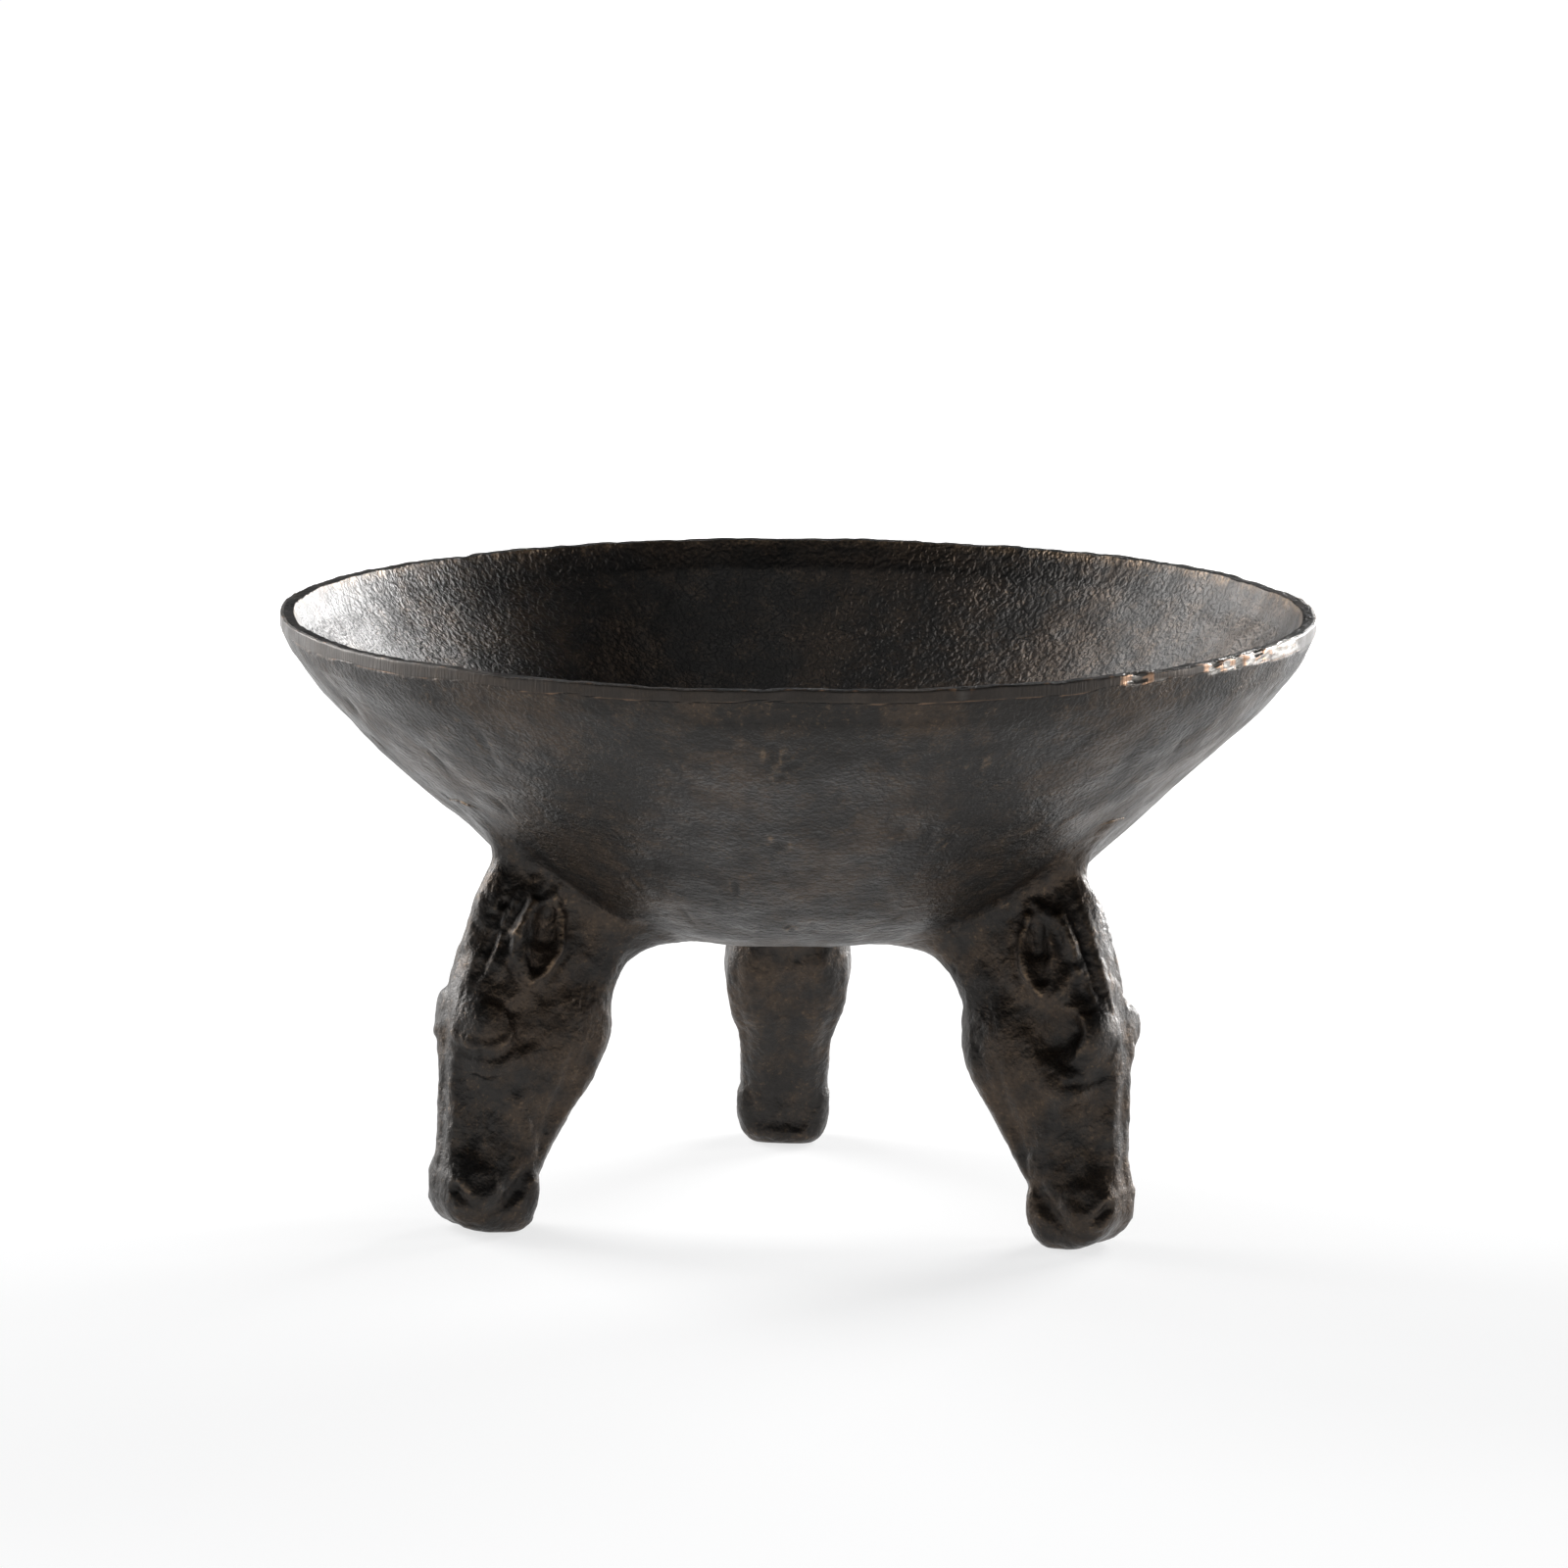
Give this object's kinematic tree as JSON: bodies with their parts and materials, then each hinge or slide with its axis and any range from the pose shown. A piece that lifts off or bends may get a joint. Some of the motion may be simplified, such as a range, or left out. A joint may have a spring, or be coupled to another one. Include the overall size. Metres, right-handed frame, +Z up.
{
  "type": "tripod bowl",
  "caption": "Cast bronze bowl for coals or display, wide and conical, standing on three horse heads whose muzzles rest on the floor.",
  "frame": {"origin": "on the floor, under the middle of the rim and midway between the three muzzles", "axes": "+Z up; +Y towards the back head, so two heads face half forwards; +X to the right"},
  "size_m": [0.3049, 0.305, 0.1811],
  "materials": {
    "bowl_bronze": "dark brown patina on cast bronze, satin, rubbed brighter along the rim",
    "head_bronze": "dark brown patina on cast bronze, golden where it is rubbed",
    "braze_bronze": "chased braze under the same dark patina"
  },
  "bodies": {
    "root": {"bowl_shell": "bowl_bronze", "horse_head_leg_back": "head_bronze", "horse_head_leg_left": "head_bronze", "horse_head_leg_right": "head_bronze", "braze_bead_back": "braze_bronze", "braze_bead_left": "braze_bronze", "braze_bead_right": "braze_bronze"}
  },
  "joints": []
}
